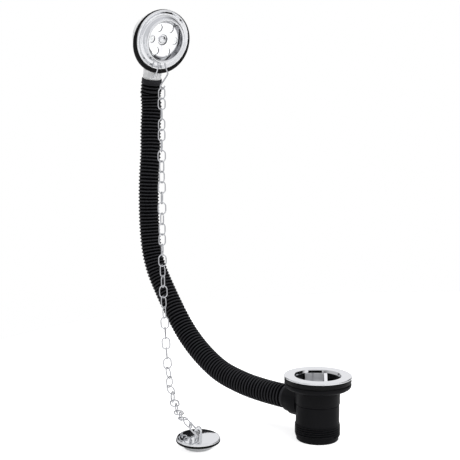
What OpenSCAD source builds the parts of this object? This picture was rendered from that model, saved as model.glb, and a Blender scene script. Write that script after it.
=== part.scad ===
// Bath waste with a hose overflow, plug and chain, standing on its threaded outlet.
// The origin is on the waste's axis, level with the top of its flange. X runs away from the overflow.

/* [Waste flange] */
// Outer diameter of the chrome flange
flange_d = 72; // [68:0.5:76]
// Diameter of the opening that the plug closes
throat_d = 47; // [44:0.5:48]
// Depth of the flange's turned-down throat
throat_depth = 10; // [8:0.5:11]
// Thickness of the pressed metal
sheet_t = 1.1; // [0.8:0.1:1.4]

/* [Strap and waste screw] */
// Width of the strap that crosses the throat
strap_w = 24; // [18:0.5:25]
// Thickness of the strap
strap_t = 1.5; // [1:0.1:2]
// Turn of the strap about the waste's axis
strap_turn = -47; // [-90:1:90]
// Nominal diameter of both fixing screws
screw_d = 6; // [5:0.5:7]
// Diameter of the fixing screws' heads
screw_head_d = 11; // [10:0.5:12]
// Height of the fixing screws' heads
screw_head_h = 3; // [2:0.1:3.5]
// Width of the screw slots
slot_w = 1.4; // [1:0.1:2]
// Length of the waste screw below its head
waste_screw_l = 30; // [26:1:32]

/* [Seals] */
// Thickness of the upper seal
seat_seal_t = 4.4; // [3:0.1:6]
// How far the lower seal's edge stands inside the body flange's
lower_seal_inset = 1.3; // [0.5:0.1:2.5]
// Thickness of the lower seal
lower_seal_t = 1.3; // [1:0.1:2]
// Bore of both seals
seal_bore_d = 51; // [50:0.5:54]

/* [Waste body] */
// Height from the flange's top to the end of the thread
waste_h = 68.8; // [66:0.1:76]
// Outer diameter of the body's own flange and of the upper seal
body_flange_d = 70.6; // [67:0.1:72]
// Height of the body flange's straight edge
body_flange_edge = 2.2; // [1.5:0.1:4]
// Height of the body flange's rounded underside
body_flange_curve = 5; // [4:0.5:8]
// Outer diameter of the body above the weld seam
upper_tube_d = 47.2; // [46:0.1:48]
// Outer diameter of the body below the weld seam
lower_tube_d = 46; // [45:0.1:47]
// Depth of the weld seam below the flange's top
seam_depth = 29.5; // [27:0.5:34]
// Bore of the outlet
outlet_bore_d = 40.6; // [38:0.1:41.5]
// Outside diameter of the outlet thread, G 1 1/2
thread_d = 47.8; // [47:0.1:48.2]
// Length of the outlet thread
thread_l = 13; // [11:0.5:15]
// Height of the plain lip under the thread
lip_h = 4.8; // [3:0.1:6]
// Diameter of the plain lip
lip_d = 44.6; // [43.5:0.1:45]
// Diameter of the boss that holds the insert
boss_d = 14; // [12:0.5:16]
// Length of that boss
boss_l = 25; // [22:0.5:28]
// Thickness of the webs that carry the boss
web_t = 3; // [2:0.5:4]

/* [Overflow inlet] */
// Depth of the inlet's axis below the flange's top
inlet_depth = 31.5; // [30:0.1:33]
// Outer diameter of the inlet's collar
inlet_collar_d = 29.6; // [28:0.1:31]
// Distance from the waste's axis to the collar's end
inlet_reach = 38; // [36:0.5:43]
// Drop of the lower chamber under the inlet
chamber_drop = 2; // [1:0.1:5]
// Distance from the waste's axis to the lower chamber's end
chamber_reach = 31.5; // [29:0.5:35]
// Length of the spigots inside the hose ends
spigot_l = 10; // [8:1:10]
// Outer diameter of the spigots
spigot_d = 19.6; // [18:0.1:20]
// Bore of the spigots
spigot_bore_d = 15.6; // [13:0.1:16]

/* [Hose] */
// Outer diameter of the hose over its ribs
hose_d = 26; // [24.5:0.1:27]
// Depth of the grooves between the ribs
rib_depth = 1.5; // [0.8:0.1:2]
// Bore of the hose
hose_bore_d = 20.4; // [20.2:0.1:21]
// Distance from rib to rib
rib_pitch = 4.2; // [3.6:0.1:6]
// Length of the plain cuff at each end
cuff_l = 8; // [6:0.5:10]

/* [Overflow] */
// Distance from the waste's axis back to the overflow's face
overflow_back = 237; // [232:1:242]
// Height of the overflow's centre above the waste flange
overflow_up = 367.4; // [364:0.1:370]
// Downward tilt of the overflow's face
overflow_tilt = 17.7; // [16:0.1:19]
// Sideways turn of the overflow's face
overflow_turn = -10.3; // [-12:0.1:-8]
// Diameter of the overflow plate
plate_d = 71; // [69:0.5:73]
// Diameter of the plate's raised lip
lip_ring_d = 50; // [48:0.5:52]
// Height of the raised lip in front of the plate's rim
lip_rise = 8; // [6:0.1:9]
// Number of holes in the plate's floor
hole_count = 6; // [5:1:6]
// Diameter of the plate's holes
hole_d = 9.8; // [8:0.1:10]
// Diameter of the circle that the holes stand on
hole_circle_d = 31.6; // [30:0.1:32]
// Outer diameter of the overflow seal
overflow_seal_d = 76.6; // [75:0.1:78]
// Thickness of the overflow seal
overflow_seal_t = 5.4; // [4:0.1:6]
// Slip of the overflow seal down the plate
seal_slip_down = 3; // [2:0.1:4]
// Slip of the overflow seal to the side
seal_slip_side = 1.5; // [0:0.1:2]
// Outer diameter of the cup behind the plate
cup_d = 52; // [50:0.5:54]
// Depth of the cup behind the seal
cup_depth = 24; // [23.5:0.5:27]
// Outer diameter of the cup's flange
cup_flange_d = 68; // [64:0.5:70]
// Outer diameter of the neck under the cup
neck_d = 22.6; // [22:0.1:24]
// Distance of the neck's axis behind the plate's rim
neck_back = 17.6; // [17.4:0.1:18.4]
// Distance from the overflow's centre to the neck's end
neck_reach = 51; // [49:0.5:53]
// Turn of the cup and its neck about the overflow's axis
neck_turn = 5; // [0:5:5]

/* [Chain] */
// Wire diameter of the chain links
link_wire_d = 1.4; // [1.2:0.1:1.5]
// Distance from link to link
link_pitch = 12.6; // [12.4:0.1:12.8]
// Outer width of a link
link_w = 10.4; // [9.6:0.1:11]
// Wire diameter of the hook and of the plug's link
hook_wire_d = 1.7; // [1.4:0.1:1.9]
// Sway of the twist along the upper chain
link_sway = 30; // [0:1:30]

/* [Plug] */
// Outer diameter of the plug's chrome top
plug_d = 45; // [44:0.1:46]
// Height of the chrome top's edge
plug_edge_h = 1.7; // [1.6:0.1:2.5]
// Rise of the chrome top from its edge to its middle
plug_crown = 0.5; // [0:0.1:1]
// Outer diameter of the plug's rubber seal
plug_seal_d = 45.4; // [44:0.1:46.2]
// Height of the plug's rubber seal
plug_seal_h = 2.2; // [1.8:0.1:3]
// Diameter of the plug's lower plate at its top
plug_base_d = 37; // [34:0.5:40]
// Height of the plug's lower plate
plug_base_h = 6; // [5:0.1:7]
// Lean of the plug where it lies
plug_lean = 3.8; // [0:0.1:5]
// Outside width of the plug's eye
eye_w = 7.8; // [7:0.1:8.5]
// Thickness of the eye's strip
eye_t = 2.4; // [2:0.1:2.6]
// Height of the eye above the plug's top
eye_h = 10.5; // [9.5:0.5:16]
// Depth of the eye's strip
eye_depth = 5; // [4:0.5:6]
// Length of the link bar that passes through the eye
bar_l = 16; // [14:0.5:18]
// Length of the plug link's short side, which the last chain link hangs on
apex_l = 20; // [19:0.5:21]

/* [Hidden] */
$fn = 72;
eps = 0.01;
seal_top = -2.2;
lower_seal_top = seal_top - seat_seal_t;
body_top = lower_seal_top - lower_seal_t;
recess_floor = -12.6;
recess_d = throat_d + 2 * sheet_t + 1.4;
floor_z = -waste_h;
thread_top = floor_z + lip_h + thread_l;
strap_bottom = recess_floor + 0.3;
strap_reach = sqrt(pow(throat_d / 2 - 0.2, 2) - pow(strap_w / 2, 2));
boss_top = recess_floor - 1;
insert_d = 9;
insert_l = 13;
screw_clear = 0.4;
hose_end_gap = 0.3;

plate_down = [-sin(overflow_tilt) * cos(overflow_turn), -sin(overflow_tilt) * sin(overflow_turn), -cos(overflow_tilt)];
plate_out = [cos(overflow_tilt) * cos(overflow_turn), cos(overflow_tilt) * sin(overflow_turn), -sin(overflow_tilt)];
plate_side = cross(plate_out, plate_down);
plate_centre = [-overflow_back, 0, overflow_up];
neck_way = cos(neck_turn) * plate_down + sin(neck_turn) * plate_side;
hose_top = plate_centre - neck_back * plate_out + (neck_reach + hose_end_gap) * neck_way;
hose_bottom = [-inlet_reach - hose_end_gap, 0, -inlet_depth];
// The overflow's place that both routes below were laid out for: they follow it when it moves
laid_back = 237;
laid_up = 367.4;
laid_low = -31.5;
function follow(p) =
    let (share = max(0, min(1, (p[2] - laid_low) / (laid_up - laid_low))))
    p + share * [laid_back - overflow_back, 0, overflow_up - laid_up];
// Stations along the hose's centre, from its upper end to its lower end
hose_stations = [
    [-274.5, 14.5, 288], [-274.5, 13, 260], [-273, 11, 231], [-273, 8.5, 201], [-274, 8.5, 170],
    [-273.5, 9, 138.5], [-269.5, 9, 110], [-260.5, 9, 85.5], [-245.5, 9, 62], [-226.5, 8, 37.5],
    [-204, 7, 13], [-176, 5, -7], [-143.5, 3, -22], [-108, 1.5, -29], [-78, 0.5, -31.2]
];
hose_route = concat(
    [hose_top, hose_top + 7 * neck_way, hose_top + 14 * neck_way, hose_top + 21 * neck_way],
    [for (p = hose_stations) follow(p)],
    [hose_bottom - [14, 0, 0], hose_bottom]
);
hose_sides = 14;
bore_step = 6;

// Stations along the chain, from its first link on the hook to the plug's own link
chain_stations = [
    [-238, -1.2, 309.8], [-234.6, -4.8, 270], [-232.8, -6.8, 228.5], [-230, -9.5, 163.5], [-225, -14, 103.5],
    [-216.5, -20.5, 62.5], [-207, -27.5, 32], [-197, -35, 9.5], [-185, -44, -11], [-170, -55, -28.5],
    [-160.5, -61.5, -35], [-144.5, -72, -42.5], [-123.5, -85.5, -46.5], [-106, -97.5, -46],
    [-93.5, -105.5, -44.5], [-81.5, -106.5, -48.5]
];
chain_route = [for (p = chain_stations) follow(p)];
plug_centre = [-73.7, -104.7, floor_z];
// Bearing that the plug leans towards, on its edge and the tails of its eye
lean_bearing = -40;
// Bearing of the plug's eye, which the link's bar runs through
eye_bearing = -47;
link_inner = link_pitch + 0.1;
link_bend_r = (link_w - link_wire_d) / 2;
link_straight = link_inner + link_wire_d - 2 * link_bend_r;
// How far inside the last link's end the plug link passes
apex_in = 2;

plug_edge_z = plug_base_h + plug_seal_h + plug_edge_h;
plug_face_z = plug_edge_z + plug_crown;
bar_z = plug_face_z + hook_wire_d / 2 + 1.15;
base_edge_r = plug_base_d / 2 - 3.5;
// The eye's tails are turned out this far under the plug, and let down to the floor that the plug leans on
tail_l = 6;
tail_reach = eye_depth / 2 * cos(eye_bearing - lean_bearing)
    + (eye_w / 2 - eye_t + tail_l) * abs(sin(eye_bearing - lean_bearing));
tail_drop = (base_edge_r - tail_reach) * tan(plug_lean);
plug_lift = base_edge_r * sin(plug_lean);
bar_point = plug_centre + [0, 0, plug_lift]
    + bar_z * [sin(plug_lean) * cos(lean_bearing), sin(plug_lean) * sin(lean_bearing), cos(plug_lean)];

function lerp(a, b, t) = a + (b - a) * t;
function unit(v) = v / norm(v);
function spline(p0, p1, p2, p3, t) =
    0.5 * (2 * p1 + (p2 - p0) * t + (2 * p0 - 5 * p1 + 4 * p2 - p3) * t * t
    + (3 * p1 - p0 - 3 * p2 + p3) * t * t * t);
function station(route, i, t) =
    let (last = len(route) - 1)
    spline(route[max(i - 1, 0)], route[i], route[i + 1], route[min(i + 2, last)], t);

// Rings along the hose: a crest and a groove for each rib, none on the cuffs
function hose_ribs(i) = max(1, round(norm(hose_route[i + 1] - hose_route[i]) / rib_pitch));
hose_last = len(hose_route) - 2;
hose_centres = [
    for (i = [0:hose_last]) let (steps = 2 * hose_ribs(i))
        for (j = [0:(i == hose_last ? steps : steps - 1)]) station(hose_route, i, j / steps)
];
hose_rings = len(hose_centres);
cuff_rings = round(2 * cuff_l / rib_pitch);
function is_cuff(k) = k < cuff_rings || k >= hose_rings - cuff_rings;
function outer_r(k) = is_cuff(k) ? hose_d / 2 - 0.5 : hose_d / 2 - (k % 2) * rib_depth;
function heading(centres, k) = unit(centres[min(k + 1, len(centres) - 1)] - centres[max(k - 1, 0)]);
function ring(centre, along, r, sides) =
    let (side = unit(cross(along, [0, 1, 0])), rise = cross(side, along))
    [for (s = [0:sides - 1]) centre + r * (cos(360 * s / sides) * side + sin(360 * s / sides) * rise)];
bore_centres = [
    for (k = [0:bore_step:hose_rings - 2]) hose_centres[k],
    hose_centres[hose_rings - 1]
];
function wall(rows, sides, first, flip) = [
    for (k = [0:rows - 2], s = [0:sides - 1])
        let (a = first + k * sides + s, b = first + k * sides + (s + 1) % sides)
        flip ? [a, b, b + sides, a + sides] : [a + sides, b + sides, b, a]
];

// Points along the chain, close enough together to measure its length on them
chain_fine = [
    for (i = [0:len(chain_route) - 2], j = [0:11]) station(chain_route, i, j / 12),
    chain_route[len(chain_route) - 1]
];
chain_steps = [for (k = [0:len(chain_fine) - 2]) norm(chain_fine[k + 1] - chain_fine[k])];
function run_lengths(k = 0, sum = 0) =
    k == len(chain_steps) ? [sum] : concat([sum], run_lengths(k + 1, sum + chain_steps[k]));
chain_runs = run_lengths();
chain_length = chain_runs[len(chain_runs) - 1];
link_count = floor(chain_length / link_pitch);
function chain_at(at) =
    let (
        clipped = min(max(at, 0), chain_length - eps),
        k = max([for (n = [0:len(chain_runs) - 2]) chain_runs[n] <= clipped ? n : 0])
    )
    lerp(chain_fine[k], chain_fine[k + 1], (clipped - chain_runs[k]) / chain_steps[k]);
// The upper chain is twisted a little at each link, the lower links lie square to each other
function link_twist(n) =
    n < 23 ? 66.5 * n + 92 - link_sway * sin(16.4 * n) : 90 * n + 15 * min(max(32 - n, 0), 6);
last_joint = chain_at(link_count * link_pitch);
last_link_way = unit(chain_at((link_count - 1) * link_pitch) - last_joint);
link_names = [for (n = [1:link_count]) str("chain_link_", n)];

// A quarter ellipse from its side to its end, for rounded profiles
function quarter(centre, rx, ry, from, to, steps = 8) =
    [for (i = [0:steps]) let (a = lerp(from, to, i / steps)) centre + [rx * cos(a), ry * sin(a)]];

// A list of points with each bend rounded to a short curve
function rounded(points, r, steps = 4) = [
    points[0],
    for (i = [1:len(points) - 2])
        let (
            p = points[i],
            back = points[i - 1] - p,
            on = points[i + 1] - p,
            a = p + min(r, 0.45 * norm(back)) * unit(back),
            b = p + min(r, 0.45 * norm(on)) * unit(on)
        )
        for (j = [0:steps]) lerp(lerp(a, p, j / steps), lerp(p, b, j / steps), j / steps),
    points[len(points) - 1]
];
function square_to(v, along) = unit(v - (v * along) * along);

// A round wire swept along a list of points; first_side is any direction across its start
module swept_wire(points, d, first_side) {
    sides = 10;
    last = len(points) - 1;
    across = [
        for (k = 0, side = square_to(first_side, heading(points, 0)); k <= last;
            k = k + 1, side = square_to(side, heading(points, min(k, last)))) side
    ];
    polyhedron(
        points = [for (k = [0:last], s = [0:sides - 1])
            points[k] + d / 2 * (cos(360 * s / sides) * across[k]
                + sin(360 * s / sides) * cross(across[k], heading(points, k)))],
        faces = concat(
            wall(last + 1, sides, 0, false),
            [[for (s = [0:sides - 1]) s], [for (s = [0:sides - 1]) (last + 1) * sides - 1 - s]]
        ),
        convexity = 6
    );
}

module slotted_screw(head_d, head_h, length) {
    difference() {
        rotate_extrude()
            polygon(concat(
                [[0, -length], [screw_d / 2 - 0.6, -length], [screw_d / 2, -length + 0.8], [screw_d / 2, 0],
                    [head_d / 2, 0]],
                quarter([0, head_h * 0.4], head_d / 2, head_h * 0.6, 0, 90),
                [[0, head_h]]
            ));
        translate([-head_d, -slot_w / 2, head_h * 0.55])
            cube([2 * head_d, slot_w, head_h]);
    }
}

module waste_flange() {
    rim_r = flange_d / 2;
    throat_r = throat_d / 2;
    color("gainsboro")
        rotate_extrude()
            polygon(concat(
                quarter([rim_r - 1.1, -1.1], 1.1, 1.1, -90, 90, 12),
                [[throat_r + 6, -0.2]],
                quarter([throat_r + 2.4, -3.2], 2.4, 2.4, 90, 180, 8),
                [[throat_r, -throat_depth], [throat_r + sheet_t, -throat_depth]],
                quarter([throat_r + 2.4, -3.2], 2.4 - sheet_t, 2.4 - sheet_t, 180, 90, 8),
                [[throat_r + 6, -0.2 - sheet_t - 0.4], [rim_r - 2.6, -1.5]]
            ));
}

module flange_strap() {
    leg_h = -3.1 - strap_bottom;
    color("silver")
        rotate([0, 0, strap_turn])
            difference() {
                union() {
                    translate([-strap_reach, -strap_w / 2, strap_bottom])
                        cube([2 * strap_reach, strap_w, strap_t]);
                    for (side = [0, 1])
                        mirror([side, 0, 0])
                            translate([strap_reach - strap_t, -strap_w / 2, strap_bottom])
                                cube([strap_t, strap_w, leg_h]);
                }
                translate([0, 0, strap_bottom - 1])
                    cylinder(d = screw_d + screw_clear, h = strap_t + 2);
            }
}

module waste_screw() {
    color("silver")
        translate([0, 0, strap_bottom + strap_t])
            slotted_screw(screw_head_d, screw_head_h, waste_screw_l);
}

module ring_seal(outer_d, thickness, edge) {
    r = outer_d / 2;
    rotate_extrude()
        polygon([
            [seal_bore_d / 2, 0], [r - edge, 0], [r, edge], [r, thickness - edge],
            [r - edge, thickness], [seal_bore_d / 2, thickness]
        ]);
}

module seat_seal() {
    color("#1c1c1e")
        translate([0, 0, lower_seal_top])
            ring_seal(body_flange_d, seat_seal_t, 0.7);
}

module lower_seal() {
    color("#141415")
        translate([0, 0, body_top])
            ring_seal(body_flange_d - 2 * lower_seal_inset, lower_seal_t, 0.2);
}

module waste_body() {
    edge_z = body_top - body_flange_edge;
    upper_r = upper_tube_d / 2;
    lower_r = lower_tube_d / 2;
    color("#1d1d20")
        difference() {
            union() {
                rotate_extrude()
                    polygon(concat(
                        [[0, body_top], [body_flange_d / 2 - 0.6, body_top],
                            [body_flange_d / 2, body_top - 0.6]],
                        quarter([upper_r, edge_z], body_flange_d / 2 - upper_r, body_flange_curve, 0, -80),
                        [[upper_r, edge_z - body_flange_curve - 0.4], [upper_r, -seam_depth],
                            [lower_r - 0.5, -seam_depth - 0.5], [lower_r - 0.5, -seam_depth - 1.1],
                            [lower_r, -seam_depth - 1.6], [lower_r, thread_top], [thread_d / 2 - 0.6, thread_top],
                            [thread_d / 2, thread_top - 0.6], [thread_d / 2, floor_z + lip_h + 0.6],
                            [thread_d / 2 - 0.6, floor_z + lip_h], [lip_d / 2, floor_z + lip_h],
                            [lip_d / 2, floor_z + 0.8], [lip_d / 2 - 0.8, floor_z], [0, floor_z]]
                    ));
                inlet_outside();
            }
            translate([0, 0, recess_floor])
                cylinder(d = recess_d, h = 20);
            difference() {
                translate([0, 0, floor_z - 1])
                    cylinder(d = outlet_bore_d, h = recess_floor - floor_z + 2);
                boss_and_webs();
            }
            translate([0, 0, boss_top - boss_l - 1])
                cylinder(d = screw_d + screw_clear, h = boss_l + 2);
            translate([0, 0, boss_top - boss_l - 1])
                cylinder(d = insert_d, h = insert_l + 1);
            translate([-inlet_reach - spigot_l - 1, 0, -inlet_depth])
                rotate([0, 90, 0])
                    cylinder(d = spigot_bore_d, h = inlet_reach + spigot_l - lower_r + 5);
        }
}

// The inlet's collar, its lower chamber and the spigot that the hose fits
module inlet_outside() {
    translate([0, 0, -inlet_depth])
        rotate([0, -90, 0])
            difference() {
                union() {
                    cylinder(d = inlet_collar_d, h = inlet_reach);
                    cylinder(d = spigot_d, h = inlet_reach + spigot_l);
                    translate([-chamber_drop, 0, 0])
                        cylinder(d = inlet_collar_d, h = chamber_reach);
                }
                cylinder(r = upper_tube_d / 2 - 4, h = upper_tube_d / 2 - 4);
            }
}

module boss_and_webs() {
    web_l = outlet_bore_d + 2;
    translate([0, 0, boss_top - boss_l])
        cylinder(d = boss_d, h = boss_l);
    translate([-web_t / 2, -web_l / 2, boss_top - boss_l])
        cube([web_t, web_l, boss_l]);
}

module waste_insert() {
    color("goldenrod")
        translate([0, 0, boss_top - boss_l])
            threaded_insert();
}

module threaded_insert() {
    difference() {
        cylinder(d = insert_d, h = insert_l);
        translate([0, 0, -1])
            cylinder(d = screw_d, h = insert_l + 2);
    }
}

module overflow_hose() {
    bore_rings = len(bore_centres);
    outer = [for (k = [0:hose_rings - 1])
        each ring(hose_centres[k], heading(hose_centres, k), outer_r(k), hose_sides)];
    bore = [for (k = [0:bore_rings - 1])
        each ring(bore_centres[k], heading(bore_centres, k), hose_bore_d / 2, hose_sides)];
    first_bore = len(outer);
    last_outer = (hose_rings - 1) * hose_sides;
    last_bore = first_bore + (bore_rings - 1) * hose_sides;
    ends = [for (s = [0:hose_sides - 1])
        let (n = (s + 1) % hose_sides)
        each [
            [s, n, first_bore + n, first_bore + s],
            [last_outer + n, last_outer + s, last_bore + s, last_bore + n]
        ]];
    color("#18181a")
        polyhedron(
            points = concat(outer, bore),
            faces = concat(
                wall(hose_rings, hose_sides, 0, false),
                wall(bore_rings, hose_sides, first_bore, true),
                ends
            ),
            convexity = 10
        );
}

// Places its children in the overflow's own frame: X down the plate, Z out of its face
module at_overflow() {
    translate(plate_centre)
        rotate([0, 90 + overflow_tilt, overflow_turn])
            children();
}

module overflow_plate() {
    rim_r = plate_d / 2;
    lip_r = lip_ring_d / 2;
    dish_r = lip_r - 5;
    color("gainsboro")
        at_overflow()
            difference() {
                rotate_extrude()
                    polygon(concat(
                        [[rim_r - 1.2, -0.8]],
                        quarter([rim_r - 1.6, 0.2], 1.6, 1.4, -40, 150, 12),
                        quarter([rim_r - 3, lip_rise + 0.2], rim_r - lip_r - 4.4, lip_rise - 0.6, 270, 190, 8),
                        quarter([lip_r, lip_rise - 1.2], 1.5, 1.4, 20, 160, 8),
                        [[dish_r + 1.2, 1.6], [dish_r, 0.4], [6, 0.4], [4.6, -1.4], [3.2, -1.4], [3.2, -2.6],
                            [6, -2.6], [7.2, -0.8], [dish_r + 0.6, -0.8], [lip_r - 0.6, lip_rise - 2.4],
                            [lip_r + 0.5, lip_rise - 2.4]],
                        quarter([rim_r - 3, lip_rise - 1], rim_r - lip_r - 3.6, lip_rise - 0.8, 190, 270, 8)
                    ));
                for (n = [0:hole_count - 1])
                    rotate([0, 0, 360 * (n + 0.5) / hole_count])
                        translate([hole_circle_d / 2, 0, -5])
                            cylinder(d = hole_d, h = 10);
                for (side = [-1, 1])
                    translate([rim_r - 7, 5 * side + hook_shift, lip_rise / 2 + 0.5])
                        rotate([0, 90, 0])
                            cylinder(d = hook_wire_d + 1.8, h = 8, center = true);
            }
}

module overflow_screw() {
    color("gainsboro")
        at_overflow()
            translate([0, 0, -1.4])
                rotate([0, 0, 60])
                    slotted_screw(9, 2.6, 22);
}

module overflow_seal() {
    outer_r = overflow_seal_d / 2;
    groove = 0.7;
    t = overflow_seal_t;
    color("#141415")
        at_overflow()
            translate([seal_slip_down, seal_slip_side, -0.8 - t])
                rotate_extrude()
                    polygon([
                        [28, 0], [outer_r - 0.6, 0], [outer_r, 0.6], [outer_r, t * 0.3],
                        [outer_r - groove, t * 0.4], [outer_r, t * 0.5], [outer_r, t * 0.62],
                        [outer_r - groove, t * 0.72], [outer_r - 0.3, t * 0.82], [outer_r - 1, t], [28, t]
                    ]);
}

module overflow_body() {
    back = -0.8 - overflow_seal_t;
    bottom = back - cup_depth;
    cup_r = cup_d / 2;
    color("#e9e9ea")
        at_overflow()
            rotate([0, 0, neck_turn])
                difference() {
                    union() {
                        rotate_extrude()
                            polygon(concat(
                                [[0, back], [cup_flange_d / 2, back], [cup_flange_d / 2, back - 3],
                                    [cup_r, back - 3.6]],
                                quarter([cup_r - 4, bottom + 4], 4, 4, 0, -90),
                                [[0, bottom]]
                            ));
                        translate([0, 0, -neck_back])
                            rotate([0, 90, 0]) {
                                cylinder(d = neck_d, h = neck_reach);
                                cylinder(d = spigot_d, h = neck_reach + spigot_l);
                            }
                    }
                    difference() {
                        translate([0, 0, bottom + 2.4])
                            cylinder(r = cup_r - 2.4, h = cup_depth);
                        translate([0, 0, bottom])
                            cylinder(d = boss_d, h = cup_depth - 6);
                    }
                    translate([0, 0, bottom + 3])
                        cylinder(d = screw_d + screw_clear, h = cup_depth);
                    translate([0, 0, back - 6 - insert_l])
                        cylinder(d = insert_d, h = insert_l + 1);
                    translate([cup_r - 8, 0, -neck_back])
                        rotate([0, 90, 0])
                            cylinder(d = spigot_bore_d, h = neck_reach + spigot_l);
                }
}

module overflow_insert() {
    color("goldenrod")
        at_overflow()
            rotate([0, 0, neck_turn])
                translate([0, 0, -0.8 - overflow_seal_t - 6 - insert_l])
                    threaded_insert();
}

// The open wire hook: through the plate's hollow lip, down in front of the seal, and round the first link
hook_shift = 0.5;
hook_points = [
    [45, -10.5, 9], [36, -6.5, 9], [31, -4.5, 7.2], [28.4, -4.5, 4.7], [24.75, -4.5, 4.3],
    [24.75, 5.5, 4.3], [28.4, 5.5, 4.7], [31, 5.5, 7.2],
    [38.5, 9.2, 9.5], [47, 1.2, 14], [51.5, -3.2, 16.2], [54.2, -4.2, 17.6], [56.4, -1.8, 18], [55.4, 1, 17.6],
    [52, 2.6, 16.8]
];

module chain_hook() {
    path = [for (p = hook_points) plate_centre + p[0] * plate_down + p[1] * plate_side + p[2] * plate_out];
    color("silver")
        swept_wire(rounded(path, 2.5), hook_wire_d, plate_out);
}

// One stadium of wire, lying in XZ with its length along Z
module wire_loop() {
    rotate([90, 0, 0])
        for (end = [0, 1])
            rotate([0, 0, 180 * end]) {
                translate([0, link_straight / 2, 0])
                    rotate_extrude(angle = 180)
                        translate([link_bend_r, 0])
                            circle(d = link_wire_d, $fn = 16);
                translate([link_bend_r, link_straight / 2, 0])
                    rotate([90, 0, 0])
                        cylinder(d = link_wire_d, h = link_straight, $fn = 16);
            }
}

module chain_link(n) {
    upper = chain_at((n - 1) * link_pitch);
    lower = chain_at(n * link_pitch);
    along = unit(upper - lower);
    across = [-sin(eye_bearing), cos(eye_bearing), 0];
    side = unit(across - (across * along) * along);
    out = cross(along, side);
    middle = (upper + lower) / 2;
    color("silver")
        multmatrix([
            [side[0], out[0], along[0], middle[0]],
            [side[1], out[1], along[1], middle[1]],
            [side[2], out[2], along[2], middle[2]],
            [0, 0, 0, 1]
        ])
            rotate([0, 0, link_twist(n)])
                wire_loop();
}

// The plug's link: a bar through the eye, two legs and a short side through the chain's last link
module plug_link() {
    bar_way = [cos(eye_bearing), sin(eye_bearing), 0];
    apex = last_joint + apex_in * last_link_way;
    near_apex = apex + apex_l / 2 * bar_way;
    far_apex = apex - apex_l / 2 * bar_way;
    near_end = bar_point + bar_l / 2 * bar_way;
    far_end = bar_point - bar_l / 2 * bar_way;
    gap = near_apex + 0.6 * hook_wire_d * unit(near_end - near_apex);
    color("silver")
        swept_wire(rounded([gap, near_end, far_end, far_apex, near_apex - 0.6 * hook_wire_d * bar_way], 2),
            hook_wire_d, [0, 0, 1]);
}

module at_plug() {
    translate(plug_centre + [0, 0, plug_lift])
        rotate([0, 0, lean_bearing])
            rotate([0, plug_lean, 0])
                rotate([0, 0, eye_bearing - lean_bearing])
                    children();
}

module plug_top() {
    r = plug_d / 2;
    face_r = r - 1.2;
    under = plug_edge_z - plug_edge_h;
    color("gainsboro")
        at_plug()
            difference() {
                rotate_extrude()
                    polygon(concat(
                        [[0, under], [r - 0.3, under], [r, under + 0.3]],
                        quarter([face_r, plug_edge_z - 1.2], 1.2, 1.2, 0, 75, 5),
                        [for (k = [6:-1:0]) [face_r * k / 6, plug_edge_z + plug_crown * (1 - pow(k / 6, 2))]]
                    ));
                eye_slots();
            }
}

module plug_seal() {
    color("#141415")
        at_plug()
            difference() {
                rotate_extrude()
                    polygon([
                        [0, plug_base_h], [plug_seal_d / 2 - 0.8, plug_base_h],
                        [plug_seal_d / 2, plug_base_h + 0.7], [plug_seal_d / 2, plug_base_h + plug_seal_h - 0.3],
                        [plug_seal_d / 2 - 0.3, plug_base_h + plug_seal_h], [0, plug_base_h + plug_seal_h]
                    ]);
                eye_slots();
            }
}

module plug_base() {
    color("#c9c9cb")
        at_plug()
            difference() {
                rotate_extrude()
                    polygon([[0, 0], [base_edge_r, 0], [plug_base_d / 2, plug_base_h], [0, plug_base_h]]);
                translate([0, 0, -1])
                    cylinder(d = 20, h = 2.4);
                eye_slots();
            }
}

// The two slots that the eye's tails pass through
module eye_slots() {
    for (side = [-1, 1])
        translate([-eye_depth / 2, side * (eye_w - eye_t) / 2 - eye_t / 2, -1])
            cube([eye_depth, eye_t, plug_face_z + 2]);
}

// A strip bent to a loop, its tails through the plug and turned out under it
module plug_eye() {
    arch_z = plug_face_z + eye_h - eye_w / 2;
    tail_z = -tail_drop;
    color("gainsboro")
        at_plug()
            rotate([90, 0, 90]) {
                difference() {
                    linear_extrude(height = eye_depth, center = true)
                        union() {
                            translate([0, arch_z]) circle(d = eye_w);
                            translate([-eye_w / 2, tail_z]) square([eye_w, arch_z - tail_z]);
                        }
                    translate([0, 0, -eye_depth])
                        linear_extrude(height = 2 * eye_depth)
                            union() {
                                translate([0, arch_z]) circle(d = eye_w - 2 * eye_t);
                                translate([-eye_w / 2 + eye_t, tail_z - 1])
                                    square([eye_w - 2 * eye_t, arch_z - tail_z + 1]);
                            }
                }
                for (side = [0, 1])
                    mirror([side, 0, 0])
                        translate([eye_w / 2 - eye_t, tail_z, -eye_depth / 2])
                            cube([tail_l, 1.1, eye_depth]);
            }
}

waste_flange();
flange_strap();
waste_screw();
seat_seal();
lower_seal();
waste_body();
waste_insert();
overflow_hose();
overflow_body();
overflow_insert();
overflow_seal();
overflow_plate();
overflow_screw();
chain_hook();
plug_link();
plug_top();
plug_seal();
plug_base();
plug_eye();
for (n = [1:link_count])
    chain_link(n);
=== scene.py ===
import bpy
import bmesh
import numpy as np
from math import cos, sin, tan, pi, radians
from mathutils import Matrix, Vector


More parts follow.
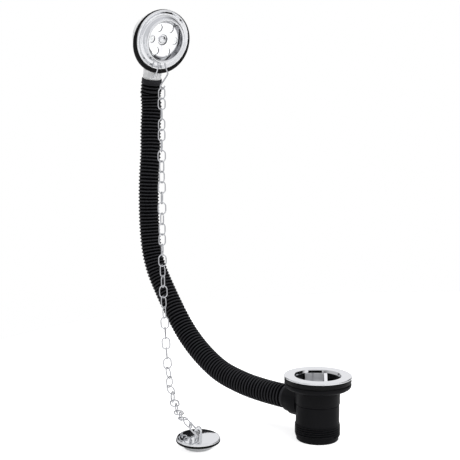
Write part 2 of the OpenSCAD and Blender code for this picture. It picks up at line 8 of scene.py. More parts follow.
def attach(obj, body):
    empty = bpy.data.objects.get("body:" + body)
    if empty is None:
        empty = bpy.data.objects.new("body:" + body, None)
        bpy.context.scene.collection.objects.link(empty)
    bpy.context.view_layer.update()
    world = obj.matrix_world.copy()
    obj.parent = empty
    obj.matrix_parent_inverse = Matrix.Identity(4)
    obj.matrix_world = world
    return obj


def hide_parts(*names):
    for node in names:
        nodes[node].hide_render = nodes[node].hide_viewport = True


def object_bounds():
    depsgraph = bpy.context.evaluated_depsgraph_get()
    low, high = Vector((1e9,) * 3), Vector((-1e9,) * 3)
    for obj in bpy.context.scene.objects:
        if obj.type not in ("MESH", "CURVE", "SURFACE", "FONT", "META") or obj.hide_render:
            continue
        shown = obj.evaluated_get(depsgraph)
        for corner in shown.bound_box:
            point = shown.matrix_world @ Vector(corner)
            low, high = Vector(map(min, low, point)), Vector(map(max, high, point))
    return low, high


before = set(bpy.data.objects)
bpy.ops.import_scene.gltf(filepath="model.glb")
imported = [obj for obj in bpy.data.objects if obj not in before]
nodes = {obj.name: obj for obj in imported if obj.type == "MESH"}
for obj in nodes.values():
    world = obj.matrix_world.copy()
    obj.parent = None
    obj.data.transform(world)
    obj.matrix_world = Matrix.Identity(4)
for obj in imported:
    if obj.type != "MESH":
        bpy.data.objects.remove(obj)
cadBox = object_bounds()
mainBody = "waste_and_chain"
plugBody = "plug"
mm = 0.001


# Materials

def hexColor(code):
    parts = [int(code[i:i + 2], 16) / 255 for i in (1, 3, 5)]
    return [p / 12.92 if p <= 0.04045 else ((p + 0.055) / 1.055) ** 2.4 for p in parts] + [1]


def addNode(tree, kind, inputs=None, **settings):
    node = tree.nodes.new("ShaderNode" + kind)
    for name, value in settings.items():
        setattr(node, name, value)
    for name, value in (inputs or {}).items():
        if isinstance(value, bpy.types.NodeSocket):
            tree.links.new(value, node.inputs[name])
        else:
            node.inputs[name].default_value = value
    return node


def startMaterial(name):
    material = bpy.data.materials.new(name)
    material.use_nodes = True
    tree = material.node_tree
    tree.nodes.clear()
    place = addNode(tree, "TexCoord").outputs["Object"]
    return material, tree, place


def closeMaterial(tree, surface):
    addNode(tree, "OutputMaterial", {"Surface": surface})


def spread(tree, value, low, high):
    return addNode(tree, "MapRange", {"Value": value, "To Min": low, "To Max": high}).outputs["Result"]


def tint(tree, value, dark, light):
    return addNode(tree, "Mix", {0: value, 6: hexColor(dark), 7: hexColor(light)}, data_type="RGBA").outputs[2]


# Chromium plating over buffed brass: a hard cool mirror with a very faint ripple left by the buffing wheel
def chromePlating(name, color, roughness, ripple):
    material, tree, place = startMaterial(name)
    smears = addNode(tree, "TexNoise", {"Vector": place, "Scale": 55, "Detail": 3, "Roughness": 0.6}).outputs["Fac"]
    waves = addNode(tree, "TexNoise", {"Vector": place, "Scale": 90, "Detail": 1}).outputs["Fac"]
    bump = addNode(tree, "Bump", {"Height": waves, "Strength": ripple, "Distance": 0.02 * mm}).outputs["Normal"]
    shader = addNode(tree, "BsdfPrincipled", {
        "Base Color": hexColor(color), "Metallic": 1,
        "Roughness": spread(tree, smears, roughness * 0.7, roughness * 1.5), "Normal": bump})
    closeMaterial(tree, shader.outputs[0])
    return material


# Pressed and turned metal left as it came from the tool: fine lines and a dull, even grey
def toolMarkedMetal(name, dark, light, roughness, lineMm):
    material, tree, place = startMaterial(name)
    stretched = addNode(tree, "Mapping", {"Vector": place, "Scale": (1, 1, 0.08)}).outputs[0]
    lines = addNode(tree, "TexNoise", {"Vector": stretched, "Scale": 1 / (lineMm * mm), "Detail": 4}).outputs["Fac"]
    cloud = addNode(tree, "TexNoise", {"Vector": place, "Scale": 120, "Detail": 2}).outputs["Fac"]
    bump = addNode(tree, "Bump", {"Height": lines, "Strength": 0.25, "Distance": 0.05 * mm}).outputs["Normal"]
    shader = addNode(tree, "BsdfPrincipled", {
        "Base Color": tint(tree, cloud, dark, light), "Metallic": 1,
        "Roughness": spread(tree, lines, roughness * 0.8, roughness * 1.25), "Normal": bump})
    closeMaterial(tree, shader.outputs[0])
    return material


# Moulded plastic: a fine spark-eroded grain from the mould breaks up the sheen, with slow flow clouds under it
def mouldedPlastic(name, dark, light, roughness, grainMm, grainDepth, gloss=0.5, glow=0, paintedGlow=0):
    material, tree, place = startMaterial(name)
    cloud = addNode(tree, "TexNoise", {"Vector": place, "Scale": 40, "Detail": 3, "Roughness": 0.55}).outputs["Fac"]
    grain = addNode(tree, "TexNoise", {"Vector": place, "Scale": 1 / (grainMm * mm), "Detail": 2}).outputs["Fac"]
    bump = addNode(tree, "Bump", {"Height": grain, "Strength": 0.5, "Distance": grainDepth * mm}).outputs["Normal"]
    shader = addNode(tree, "BsdfPrincipled", {
        "Base Color": tint(tree, cloud, dark, light), "IOR": 1.49, "Specular IOR Level": gloss,
        "Subsurface Weight": glow, "Subsurface Radius": (1, 1, 1), "Subsurface Scale": 3 * mm,
        # the emission is a glow that no lamp gives, painted light
        "Emission Color": hexColor("#ffffff"), "Emission Strength": paintedGlow,
        "Roughness": spread(tree, cloud, roughness * 0.85, roughness * 1.15), "Normal": bump})
    closeMaterial(tree, shader.outputs[0])
    return material


plateChrome = chromePlating("polishedChromePlate", "#e4e5e7", 0.045, 0.2)
paleHighlightChrome = chromePlating("paintedHighlightChromePlate", "#f8f8fa", 0.08, 0.2)  # a paler chrome for the dish's floor and the strap's rib, a painted highlight
# the plating hardly reaches into the waste's throat, and its dark colour is also painted shade for the deep recess
throatMetalShade = toolMarkedMetal("thinlyPlatedShadedThroat", "#2c2c2e", "#38393b", 0.3, 0.2)
dimmedDishWall = chromePlating("darkReflectionChromePlate", "#a4a5a8", 0.1, 0.3)  # a darker chrome for the dish's steep wall, a painted dark reflection
# dark metal for the walls of the holes and the screw's recess, painted shade
shadedHoleWall = toolMarkedMetal("shadedHoleWall", "#3c3d40", "#4a4b4e", 0.4, 0.2)
chainChrome = chromePlating("barrelPlatedChrome", "#cccdd0", 0.1, 0.4)  # small parts are plated in a drum, so duller
strapSteel = toolMarkedMetal("pressedSteel", "#c0c1c3", "#d2d3d5", 0.38, 0.25)
screwSteel = toolMarkedMetal("turnedSteel", "#a8aaae", "#c2c4c8", 0.24, 0.2)
turnedBrass = toolMarkedMetal("turnedBrass", "#b08d45", "#cfae66", 0.28, 0.2)
blackPolypropylene = mouldedPlastic("blackPolypropylene", "#111113", "#161618", 0.42, 0.35, 0.02, 0.07)
blackHosePlastic = mouldedPlastic("blownPolyethylene", "#262629", "#2d2d30", 0.36, 0.6, 0.02, 0.1)  # blown into its mould
hoseGrooveShade = mouldedPlastic("paintedGrooveShade", "#020203", "#040405", 0.6, 0.6, 0.02, 0.02)  # painted shade between the ribs, which is too fine to form at this size
blackRubber = mouldedPlastic("mouldedRubber", "#060607", "#09090a", 0.42, 0.25, 0.03, 0.14)
whitePlastic = mouldedPlastic("whiteAbs", "#f0f1f2", "#f6f7f8", 0.38, 0.4, 0.015, 0.4, 0.8)  # thin walls let some light through
# the inside of the cup, which the light through its wall reaches only in part; a glow is painted on as light to keep
# it as bright as the outside
glowingCupInside = mouldedPlastic("glowingWhiteAbsInside", "#f0f1f2", "#f6f7f8", 0.5, 0.4, 0.015, 0.3, 0.6, 0.45)
greyPlastic = mouldedPlastic("greyPolypropylene", "#eeeff0", "#f4f5f6", 0.42, 0.4, 0.02, 0.4)
print("materials made")


# A few helpers for the meshes

def newPiece(name, bm, material, body, replaced):
    mesh = bpy.data.meshes.new(name)
    bm.to_mesh(mesh)
    bm.free()
    mesh.materials.append(material)
    piece = bpy.data.objects.new(name, mesh)
    bpy.context.scene.collection.objects.link(piece)
    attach(piece, body)
    if replaced:
        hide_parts(*replaced)
    return piece


def smooth(piece, angle=35):
    mesh = piece.data
    mesh.shade_smooth()
    mesh.set_sharp_from_angle(angle=radians(angle))


def applyModifiers(piece):
    bpy.context.view_layer.update()
    graph = bpy.context.evaluated_depsgraph_get()
    piece.data = bpy.data.meshes.new_from_object(piece.evaluated_get(graph))
    piece.modifiers.clear()


def cutAway(piece, bm):
    mesh = bpy.data.meshes.new("cutter")
    bm.to_mesh(mesh)
    bm.free()
    cutter = bpy.data.objects.new("cutter", mesh)
    bpy.context.scene.collection.objects.link(cutter)
    cut = piece.modifiers.new("cut", "BOOLEAN")
    cut.object = cutter
    cut.operation = "DIFFERENCE"
    cut.solver = "EXACT"
    applyModifiers(piece)
    bpy.data.objects.remove(cutter)


# A profile's points are radius, height and how far its corner is rounded, in mm
def spinProfile(points, place=Matrix(), steps=144, closed=True):
    bm = bmesh.new()
    verts = [bm.verts.new((r * mm, 0, z * mm)) for r, z, bend in points]
    for pair in zip(verts, verts[1:] + verts[:1] if closed else verts[1:]):
        bm.edges.new(pair)
    for vert, (r, z, bend) in zip(verts, points):
        if bend:
            bmesh.ops.bevel(bm, geom=[vert], offset=bend * mm, offset_type="OFFSET", segments=7, profile=0.5,
                            affect="VERTICES", material=-1)
    bmesh.ops.spin(bm, geom=bm.verts[:] + bm.edges[:], cent=(0, 0, 0), axis=(0, 0, 1), dvec=(0, 0, 0),
                   angle=2 * pi, steps=steps, use_merge=True)
    bmesh.ops.remove_doubles(bm, verts=bm.verts, dist=0.001 * mm)
    bmesh.ops.dissolve_degenerate(bm, edges=bm.edges, dist=0.001 * mm)
    bmesh.ops.recalc_face_normals(bm, faces=bm.faces)
    bmesh.ops.transform(bm, matrix=place, verts=bm.verts)
    return bm


# A frame node's own shape with its hard edges broken, as every moulded or pressed edge is
def softCopy(node, name, material, width, body=mainBody, sharp=32, change=None):
    bm = bmesh.new()
    bm.from_mesh(nodes[node].data)
    bmesh.ops.remove_doubles(bm, verts=bm.verts, dist=0.002 * mm)
    bmesh.ops.dissolve_limit(bm, angle_limit=radians(0.4), verts=bm.verts, edges=bm.edges)
    if change:
        change(bm)
    if width:
        edges = [e for e in bm.edges if len(e.link_faces) == 2 and e.calc_face_angle(0) > radians(sharp)]
        bmesh.ops.bevel(bm, geom=edges, offset=width * mm, offset_type="OFFSET", segments=3, profile=0.5,
                        affect="EDGES", material=-1, clamp_overlap=True)
    piece = newPiece(name, bm, material, body, [node])
    smooth(piece, 38)
    return piece


def catmullRom(points, steps):
    line = []
    last = len(points) - 2
    for i in range(last + 1):
        p0, p1, p2, p3 = points[max(i - 1, 0)], points[i], points[i + 1], points[min(i + 2, last + 1)]
        for j in range(steps):
            t = j / steps
            line.append(0.5 * (2 * p1 + (p2 - p0) * t + (2 * p0 - 5 * p1 + 4 * p2 - p3) * t * t
                               + (3 * p1 - p0 - 3 * p2 + p3) * t * t * t))
    line.append(points[-1].copy())
    return line


def lengthOf(line):
    return sum((b - a).length for a, b in zip(line, line[1:]))


# Overflow hose

overflowPlace = {"back": 237, "up": 367.4, "tilt": 17.7, "turn": -10.3, "neckTurn": 5, "neckBack": 17.6, "neckReach": 51.3}
tilt, turn = radians(overflowPlace["tilt"]), radians(overflowPlace["turn"])
plateDown = Vector((-sin(tilt) * cos(turn), -sin(tilt) * sin(turn), -cos(tilt)))
plateOut = Vector((cos(tilt) * cos(turn), cos(tilt) * sin(turn), -sin(tilt)))
plateSide = plateOut.cross(plateDown)
plateCentre = Vector((-overflowPlace["back"], 0, overflowPlace["up"]))
neckTurn = radians(overflowPlace["neckTurn"])
neckWay = cos(neckTurn) * plateDown + sin(neckTurn) * plateSide

hose = {"outside": 26, "groove": 1.3, "cuff": 5, "pitch": 4.2, "sides": 44,
        # share of a rib's length, and how much of the groove's depth is cut there
        "rib": [(0, 0.55), (0.08, 0.12), (0.17, 0), (0.27, 0), (0.36, 0.12), (0.44, 0.55), (0.52, 0.9), (0.62, 1), (0.84, 1), (0.93, 0.9)],
        "route": [(-274.5, 14.5, 288), (-274.5, 13, 260), (-273, 11, 231), (-273, 8.5, 201), (-274, 8.5, 170),
                  (-273.5, 9, 138.5), (-269.5, 9, 110), (-260.5, 9, 85.5), (-245.5, 9, 62), (-226.5, 8, 37.5),
                  (-204, 7, 13), (-176, 5, -7), (-143.5, 3, -22), (-108, 1.5, -29), (-78, 0.5, -31.2),
                  (-52.3, 0, -31.5), (-38.3, 0, -31.5)]}


# Moves a straight tube that stands on the origin onto a route, so that its length runs along the route
def bendAlong(bm, line):
    ways = [(b - a).normalized() for a, b in zip(line, line[1:])]
    walked = [0]
    for a, b in zip(line, line[1:]):
        walked.append(walked[-1] + (b - a).length)
    sides = [Vector((0, 1, 0))]
    for way in ways:
        sides.append((sides[-1] - sides[-1].dot(way) * way).normalized())
    bends = [ways[0]] + [(a + b).normalized() for a, b in zip(ways, ways[1:])] + [ways[-1]]
    at = 0
    for v in sorted(bm.verts, key=lambda v: v.co.z):
        distance = v.co.z / mm
        while at < len(line) - 2 and walked[at + 1] < distance:
            at += 1
        share = (distance - walked[at]) / (walked[at + 1] - walked[at])
        way = bends[at].lerp(bends[at + 1], share).normalized()
        side = sides[at + 1] - sides[at + 1].dot(way) * way
        side.normalize()
        centre = line[at].lerp(line[at + 1], share)
        v.co = centre * mm + v.co.x * side + v.co.y * way.cross(side)


def makeHose():
    top = plateCentre - overflowPlace["neckBack"] * plateOut + overflowPlace["neckReach"] * neckWay
    stations = [top + way * neckWay for way in (0, 7, 14, 21)] + [Vector(p) for p in hose["route"]]
    line = catmullRom(stations, 40)
    total = lengthOf(line)
    ribs = round((total - 2 * hose["cuff"]) / hose["pitch"])
    pitch = (total - 2 * hose["cuff"]) / ribs
    crest, cuffRadius = hose["outside"] / 2, hose["outside"] / 2 - 0.5
    rings = [(cuffRadius - 1.2, 0, 0), (cuffRadius - 0.3, 0.3, 0), (cuffRadius, 0.9, 0), (cuffRadius, hose["cuff"] - 1, 0)]
    for k in range(ribs):
        for share, cut in hose["rib"]:
            rings.append((crest - cut * hose["groove"], hose["cuff"] + (k + share) * pitch, 0))
    rings += [(cuffRadius, total - hose["cuff"] + 0.6, 0), (cuffRadius, total - 0.9, 0),
              (cuffRadius - 0.3, total - 0.3, 0), (cuffRadius - 1.2, total, 0)]
    bm = spinProfile(rings, steps=hose["sides"], closed=False)
    for face in bm.faces:
        middle = face.calc_center_median() / mm
        ribbed = hose["cuff"] < middle.z < total - hose["cuff"]
        # faces down in the grooves take the darker plastic as painted shade
        face.material_index = int(ribbed and middle.xy.length < crest - 0.5 * hose["groove"])
    bendAlong(bm, line)
    bmesh.ops.recalc_face_normals(bm, faces=bm.faces)
    piece = newPiece("ribbedHose", bm, blackHosePlastic, mainBody, ["overflow_hose"])
    piece.data.materials.append(hoseGrooveShade)
    smooth(piece, 60)
    print("hose made,", round(total), "mm long with", ribs, "ribs")


makeHose()


# Overflow plate, its seal, body and screw

overflowFrame = Matrix.Translation(plateCentre * mm) @ Matrix((plateDown, plateSide, plateOut)).transposed().to_4x4()
plate = {"holes": 6, "holeSize": 9.8, "holeCircle": 31.6, "hookHoles": (-4.5, 5.5), "hookHoleSize": 3.5,
         "profile": [
             (34.3, -0.8, 0.2), (35.5, -0.8, 0.6), (35.5, 1.7, 1.1), (33.6, 1.7, 0.3), (31.2, 0.35, 0.3),
             (27.2, 0.4, 1.2), (26.2, 8.25, 1.2), (23.6, 8.25, 1.3), (21.0, 0.4, 1.3), (6.4, 0.4, 0.3),
             (5.8, -1.4, 0.2), (3.2, -1.4, 0), (3.2, -2.6, 0), (6.6, -2.6, 0.3), (7.8, -1.6, 0.3),
             (20.2, -1.6, 1.2), (23.9, 7.0, 0.5), (25.2, 7.0, 0.5), (26.6, 0.0, 3.0), (32.4, -0.3, 0.3)]}
overflowSeal = {"slipDown": 3, "slipSide": 1.5, "profile": [
    (28, -6.2, 0), (38.3, -6.2, 0.5), (38.3, -4.3, 0.3), (37.5, -4.0, 0.15), (38.3, -3.6, 0.3),
    (38.3, -2.7, 0.3), (37.5, -2.35, 0.15), (38.2, -1.9, 0.3), (38.0, -0.8, 0.4), (28, -0.8, 0)]}


def makeOverflow():
    piece = newPiece("dishedPlate", spinProfile(plate["profile"], steps=180), plateChrome, mainBody,
                     ["overflow_plate"])
    bm = bmesh.new()
    for n in range(plate["holes"]):
        turned = Matrix.Rotation(2 * pi * (n + 0.5) / plate["holes"], 4, "Z")
        bmesh.ops.create_cone(bm, cap_ends=True, segments=48, radius1=plate["holeSize"] / 2 * mm,
                              radius2=plate["holeSize"] / 2 * mm, depth=10 * mm,
                              matrix=turned @ Matrix.Translation((plate["holeCircle"] / 2 * mm, 0, 0)))
    for side in plate["hookHoles"]:
        bmesh.ops.create_cone(bm, cap_ends=True, segments=24, radius1=plate["hookHoleSize"] / 2 * mm,
                              radius2=plate["hookHoleSize"] / 2 * mm, depth=8 * mm,
                              matrix=Matrix.Translation((28.5 * mm, side * mm, 4.5 * mm)) @ Matrix.Rotation(pi / 2, 4, "Y"))
    cutAway(piece, bm)
    piece.data.materials.append(paleHighlightChrome)
    piece.data.materials.append(shadedHoleWall)
    piece.data.materials.append(dimmedDishWall)
    for face in piece.data.polygons:
        reach = face.center.xy.length / mm
        # the walls of the holes and of the screw's recess take the dark metal, painted shade
        if 5.2 < reach < 20.6 and -1.7 < face.center.z / mm < 0.35 and abs(face.normal.z) < 0.5:
            face.material_index = 2
        # the dish's floor takes the paler chrome, a painted highlight
        elif reach < 20.5 and face.normal.z > 0.9:
            face.material_index = 1
        # the dish's steep wall takes the darker chrome, a painted dark reflection
        elif 20.5 < reach < 24 and 0.8 < face.center.z / mm < 7.6:
            face.material_index = 3
    piece.data.transform(overflowFrame)
    smooth(piece, 40)
    slipped = overflowFrame @ Matrix.Translation((overflowSeal["slipDown"] * mm, overflowSeal["slipSide"] * mm, 0))
    smooth(newPiece("grooveSeal", spinProfile(overflowSeal["profile"], slipped), blackRubber, mainBody,
                    ["overflow_seal"]))
    cup = softCopy("overflow_body", "overflowCup", whitePlastic, 0.3)
    cup.data.materials.append(glowingCupInside)
    toPlate = overflowFrame.inverted()
    for face in cup.data.polygons:
        place, way = toPlate @ face.center, toPlate.to_3x3() @ face.normal
        # faces inside the cup take the glowing white, painted light that lifts the holes
        if Vector((place.x, place.y)).length < 24.8 * mm and (way.z > 0.5 or way.xy.dot(place.xy) < 0):
            face.material_index = 1
    softCopy("overflow_screw", "plateScrew", plateChrome, 0.15)
    softCopy("chain_hook", "chainHook", chainChrome, 0, sharp=60)


makeOverflow()
print("overflow made")


# Waste: flange, strap, seals and threaded body

flange = {"slot": ((-23.4, -0.6, -2.5), (4, 15, 2.7)), "profile": [
    (33.2, -1.5, 0.4), (34.6, -2.2, 0.3), (36, -2.2, 1.05), (36, 0, 1.05), (29.5, -0.15, 2), (24.7, -0.2, 0.5),
    (23.5, -3.4, 0.3), (23.5, -10, 0.4), (24.6, -10, 0.4), (24.6, -1.9, 0.6), (29.2, -1.8, 0.6)]}
seatSeal = {"profile": [(25.5, -6.6, 0), (35.3, -6.6, 0.6), (35.3, -2.2, 0.7), (25.5, -2.2, 0)]}
lowerSeal = {"profile": [(25.5, -7.9, 0), (34.0, -7.9, 0.2), (34.0, -6.6, 0.2), (25.5, -6.6, 0)]}
# G 1 1/2: eleven threads to the inch, with the flanks at 55 degrees
thread = {"crest": 23.9, "root": 22.6, "pitch": 2.309, "turns": 4.9, "start": -62.9, "steps": 96,
          "top": -51.0, "bottom": -64.0}


# The strap turned as in the frame, with a pressed groove and a sloping rib down its far leg
strap = {"turn": -47, "groove": ((-18.4, -3.6, -9), (0.9, 1.7, 14)), "rib": ((-19, 10.2, -7.1), (1, 3.4, 8)), "ribSlope": 0.5}


def blockOf(sizes, place):
    middle, size = sizes
    bm = bmesh.new()
    bmesh.ops.create_cube(bm, size=mm, matrix=place @ Matrix.Translation(Vector(middle) * mm) @ Matrix.Diagonal((*size, 1)))
    return bm


def sinkThread(bm):
    for v in bm.verts:
        radius = Vector((v.co.x, v.co.y)).length
        if thread["bottom"] + 0.3 < v.co.z / mm < thread["top"] - 0.3 and radius > 23.6 * mm:
            v.co.x *= thread["root"] * mm / radius
            v.co.y *= thread["root"] * mm / radius


def makeThread():
    bm = bmesh.new()
    root, crest = thread["root"] - 0.1, thread["crest"]
    points = [(root, -1.0), (crest, -0.3), (crest, 0.3), (root, 1.0)]
    verts = [bm.verts.new((r * mm, 0, (thread["start"] + z) * mm)) for r, z in points]
    section = bm.faces.new(verts)
    steps = round(thread["turns"] * thread["steps"])
    bmesh.ops.spin(bm, geom=[section, *verts, *section.edges], cent=(0, 0, 0), axis=(0, 0, 1),
                   dvec=(0, 0, thread["pitch"] / thread["steps"] * mm), angle=2 * pi * thread["turns"], steps=steps)
    bmesh.ops.recalc_face_normals(bm, faces=bm.faces)
    smooth(newPiece("outletThread", bm, blackPolypropylene, mainBody, []))


def makeWaste():
    piece = newPiece("pressedFlange", spinProfile(flange["profile"], steps=180), plateChrome, mainBody,
                     ["waste_flange"])
    facing = Matrix.Rotation(radians(strap["turn"]), 4, "Z")
    cutAway(piece, blockOf(flange["slot"], facing))
    smooth(piece, 40)
    piece.data.materials.append(throatMetalShade)
    for face in piece.data.polygons:
        # the throat below its rounding takes the darker metal, painted shade of the recess
        if face.center.z < -3.4 * mm and face.center.xy.length < 24 * mm:
            face.material_index = 1
    smooth(newPiece("seatSeal", spinProfile(seatSeal["profile"]), blackRubber, mainBody, ["seat_seal"]))
    smooth(newPiece("lowerSeal", spinProfile(lowerSeal["profile"]), blackRubber, mainBody,
                    ["lower_seal"]))
    piece = softCopy("flange_strap", "bentStrap", strapSteel, 0.4)
    cutAway(piece, blockOf(strap["groove"], facing))
    smooth(piece, 38)
    bm = blockOf(strap["rib"], facing)
    bmesh.ops.transform(bm, matrix=facing @ Matrix(((1, 0, -strap["ribSlope"], -strap["ribSlope"] * 3.1 * mm), (0, 1, 0, 0),
                                                    (0, 0, 1, 0), (0, 0, 0, 1))) @ facing.inverted(), verts=bm.verts)
    # the rib is drawn in the paler chrome as a painted highlight
    smooth(newPiece("strapRib", bm, paleHighlightChrome, mainBody, []))
    softCopy("waste_screw", "slottedScrew", screwSteel, 0.15)
    softCopy("waste_body", "weldedBody", blackPolypropylene, 0.25, change=sinkThread)
    makeThread()


makeWaste()
print("waste made")


# Chain

chain = {"wire": 1.4, "bend": 4.5, "straight": 5.1, "wireSides": 12, "bendSteps": 10}


def linkPlace(node):
    points = np.array([v.co for v in node.data.vertices])
    middle = points.mean(axis=0)
    along, across, through = np.linalg.svd(points - middle, full_matrices=False)[2]
    for axis in (along, across, through):
        reach = (points - middle) @ axis
        middle = middle + axis * (reach.max() + reach.min()) / 2
    return Matrix.Translation(middle) @ Matrix((across, along, np.cross(across, along))).transposed().to_4x4()


def makeChain():
    bm = bmesh.new()
    bend, straight = chain["bend"] * mm, chain["straight"] * mm
    start = Matrix.Translation((bend, straight / 2, 0)) @ Matrix.Rotation(pi / 2, 4, "X")
    verts = bmesh.ops.create_circle(bm, segments=chain["wireSides"], radius=chain["wire"] / 2 * mm, matrix=start)["verts"]
    edges = list({e for v in verts for e in v.link_edges})
    for end in (1, -1):
        turned = bmesh.ops.spin(bm, geom=edges, cent=(0, end * straight / 2, 0), axis=(0, 0, 1), dvec=(0, 0, 0),
                                angle=pi, steps=chain["bendSteps"])["geom_last"]
        edges = [g for g in turned if isinstance(g, bmesh.types.BMEdge)]
        grown = bmesh.ops.extrude_edge_only(bm, edges=edges)["geom"]
        edges = [g for g in grown if isinstance(g, bmesh.types.BMEdge)]
        bmesh.ops.translate(bm, vec=(0, -end * straight, 0), verts=[g for g in grown if isinstance(g, bmesh.types.BMVert)])
    bmesh.ops.remove_doubles(bm, verts=bm.verts, dist=0.001 * mm)
    bmesh.ops.recalc_face_normals(bm, faces=bm.faces)
    link = bpy.data.meshes.new("link")
    bm.to_mesh(link)
    bm.clear()
    names = [n for n in nodes if n.startswith("chain_link_")]
    for name in names:
        before = len(bm.verts)
        bm.from_mesh(link)
        bmesh.ops.transform(bm, matrix=linkPlace(nodes[name]), verts=bm.verts[before:])
    smooth(newPiece("linkChain", bm, chainChrome, mainBody, names), 60)


makeChain()
softCopy("plug_link", "plugLink", chainChrome, 0, sharp=60)
print("chain made")


# Plug

plug = {"centre": (-73.7, -104.7), "lean": 3.8, "leanBearing": -40, "eyeBearing": -47, "edge": 15,
        "top": [(0, 8.2, 0), (22.2, 8.2, 0.1), (22.5, 8.5, 0.1), (22.5, 9.9, 1.0), (20.9, 9.93, 0.3), (18, 10.1, 0),
                (14, 10.2, 0), (10, 10.3, 0), (5, 10.38, 0), (0, 10.4, 0)],
        "seal": [(0, 5.8, 0), (22.0, 5.8, 0.3), (22.9, 6.5, 0.3), (22.9, 8.3, 0.3), (22, 8.4, 0), (0, 8.2, 0)],
        "base": [(0, 1.4, 0), (10, 1.4, 0.2), (10, 0, 0.3), (15, 0, 0.5), (18.5, 6, 0.2), (0, 6, 0)]}


def makePlug():
    lean = radians(plug["lean"])
    low = cadBox[0][2] / mm
    centre = Vector((*plug["centre"], low + plug["edge"] * sin(lean)))
    place = (Matrix.Translation(centre * mm) @ Matrix.Rotation(radians(plug["leanBearing"]), 4, "Z")
             @ Matrix.Rotation(lean, 4, "Y")
             @ Matrix.Rotation(radians(plug["eyeBearing"] - plug["leanBearing"]), 4, "Z"))
    for name, part, material, slot, node in (
            ("rolledPlugTop", "top", plateChrome, "plug_chrome", "plug_top"),
            ("plugSeal", "seal", blackRubber, "rubber_black", "plug_seal"),
            ("plugBase", "base", greyPlastic, "plug_grey", "plug_base")):
        smooth(newPiece(name, spinProfile(plug[part], place, closed=False), material, plugBody, [node]))
    softCopy("plug_eye", "plugEye", plateChrome, 0.5, body=plugBody)


makePlug()
print("plug made")


# Finishes on the frame's own nodes

for name, node in nodes.items():
    node.data.materials.clear()
    node.data.materials.append(turnedBrass if name.endswith("insert") else blackPolypropylene)
print("frame finished")


# Floor, world and lamps

floorSettings = {"radius": 0.85, "centre": (0.16, 0.26), "color": "#f4f4f5", "lift": 0.62, "mirroredLift": 0.1}
lampSettings = [  # name, bearing and height of the lamp in degrees, distance and size in metres, power in watts
    ("keySoftbox", 8, 38, 1.7, 0.9, 14),
    ("fillSoftbox", -130, 35, 1.9, 1.2, 8),
    ("topSoftbox", -40, 82, 1.8, 1.2, 8)]
worldSettings = {"fill": 0.42, "dark": "#161618", "pale": "#f8f8fa",
                 # what metal mirrors as pale: a middle direction, the cosines where the patch starts and is full, its level
                 "patches": {"paperAhead": ((-0.68, 0.73, 0.05), 0.78, 0.88, 1),
                             "cameraSide": ((0.88, -0.48, 0), 0.42, 0.68, 1),
                             "leftSide": ((-0.73, -0.68, 0), 0.5, 0.85, 0.6),
                             "overhead": ((0, 0, 1), 0.4, 0.56, 1),
                             "paperBelow": ((0, 0, -1), 0.12, 0.2, 0.8)}}


def makeFloor():
    low = cadBox[0][2]
    bm = bmesh.new()
    bmesh.ops.create_circle(bm, cap_ends=True, segments=96, radius=floorSettings["radius"],
                            matrix=Matrix.Translation((*floorSettings["centre"], low)))
    material, tree, place = startMaterial("whitePaperFloor")
    path = addNode(tree, "LightPath")
    mirrored = addNode(tree, "Math", {0: path.outputs["Is Glossy Ray"], 1: path.outputs["Is Transmission Ray"]},
                       operation="MAXIMUM").outputs[0]
    direct = addNode(tree, "Math", {0: path.outputs["Is Camera Ray"], 1: floorSettings["lift"]}, operation="MULTIPLY")
    glow = addNode(tree, "Math", {0: mirrored, 1: floorSettings["mirroredLift"], 2: direct.outputs[0]},
                   operation="MULTIPLY_ADD")
    paper = addNode(tree, "BsdfPrincipled", {"Base Color": hexColor(floorSettings["color"]), "Roughness": 0.9,
                                            "Emission Color": hexColor("#ffffff"),
                                            "Emission Strength": glow.outputs[0]})
    closeMaterial(tree, paper.outputs[0])
    mesh = bpy.data.meshes.new("floor")
    bm.to_mesh(mesh)
    bm.free()
    mesh.materials.append(material)
    floor = bpy.data.objects.new("floor", mesh)
    bpy.context.scene.collection.objects.link(floor)


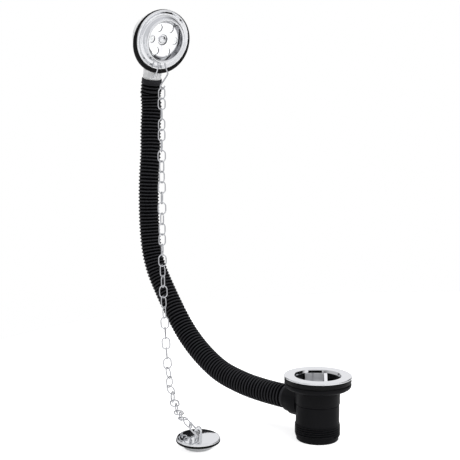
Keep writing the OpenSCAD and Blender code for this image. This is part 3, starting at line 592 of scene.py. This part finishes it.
def makeWorld():
    world = bpy.data.worlds.new("whiteStudio")
    bpy.context.scene.world = world
    world.use_nodes = True
    tree = world.node_tree
    tree.nodes.clear()
    path = addNode(tree, "LightPath")
    way = addNode(tree, "TexCoord").outputs["Generated"]
    # white paper stands behind the object and hangs overhead, the camera's side is pale, and the rest is dim
    pale = 0
    for middle, start, full, level in worldSettings["patches"].values():
        cosine = addNode(tree, "VectorMath", {0: way, 1: middle}, operation="DOT_PRODUCT").outputs["Value"]
        patch = addNode(tree, "MapRange", {"Value": cosine, "From Min": start, "From Max": full,
                                             "To Max": level}).outputs["Result"]
        pale = addNode(tree, "Math", {0: patch, 1: pale}, operation="MAXIMUM").outputs[0]
    room = addNode(tree, "Mix", {0: pale, 6: hexColor(worldSettings["dark"]), 7: hexColor(worldSettings["pale"])},
                   data_type="RGBA").outputs[2]
    seenRoom = addNode(tree, "Background", {"Color": room, "Strength": 1}).outputs[0]
    soft = addNode(tree, "Background", {"Color": hexColor("#ffffff"), "Strength": worldSettings["fill"]}).outputs[0]
    white = addNode(tree, "Background", {"Color": hexColor("#ffffff"), "Strength": 1}).outputs[0]
    mirrored = addNode(tree, "Math", {0: path.outputs["Is Glossy Ray"], 1: path.outputs["Is Transmission Ray"]},
                       operation="MAXIMUM").outputs[0]
    first = addNode(tree, "MixShader", {0: mirrored, 1: soft, 2: seenRoom}).outputs[0]
    last = addNode(tree, "MixShader", {0: path.outputs["Is Camera Ray"], 1: first, 2: white}).outputs[0]
    addNode(tree, "OutputWorld", {"Surface": last})


def makeLamps():
    target = Vector((-0.12, -0.01, 0.1))
    for name, bearing, height, distance, size, power in lampSettings:
        light = bpy.data.lights.new(name, "AREA")
        light.shape = "SQUARE"
        light.size = size
        light.energy = power
        lamp = bpy.data.objects.new(name, light)
        bpy.context.scene.collection.objects.link(lamp)
        lamp.visible_glossy = False  # gloss mirrors the world's room, not the lamp's bright square
        a, b = radians(bearing), radians(height)
        way = Vector((cos(b) * cos(a), cos(b) * sin(a), sin(b)))
        lamp.location = target + distance * way
        lamp.rotation_euler = way.to_track_quat("Z", "Y").to_euler()


makeFloor()
makeWorld()
makeLamps()

camera = bpy.data.objects.new("camera", bpy.data.cameras.new("camera"))
camera.data.lens = 67.55
camera.data.clip_end = 20
bpy.context.scene.collection.objects.link(camera)
back = Vector((0.67904, -0.72818, 0.09303)).normalized()
right = Vector((0.7314, 0.6820, 0)).normalized()
upward = back.cross(right)
camera.matrix_world = Matrix.Translation((0.53993, -0.71469, 0.23646)) @ Matrix((right, upward, back)).transposed().to_4x4()
bpy.context.scene.camera = camera
bpy.context.scene.view_settings.view_transform = "Standard"
print("stage set")
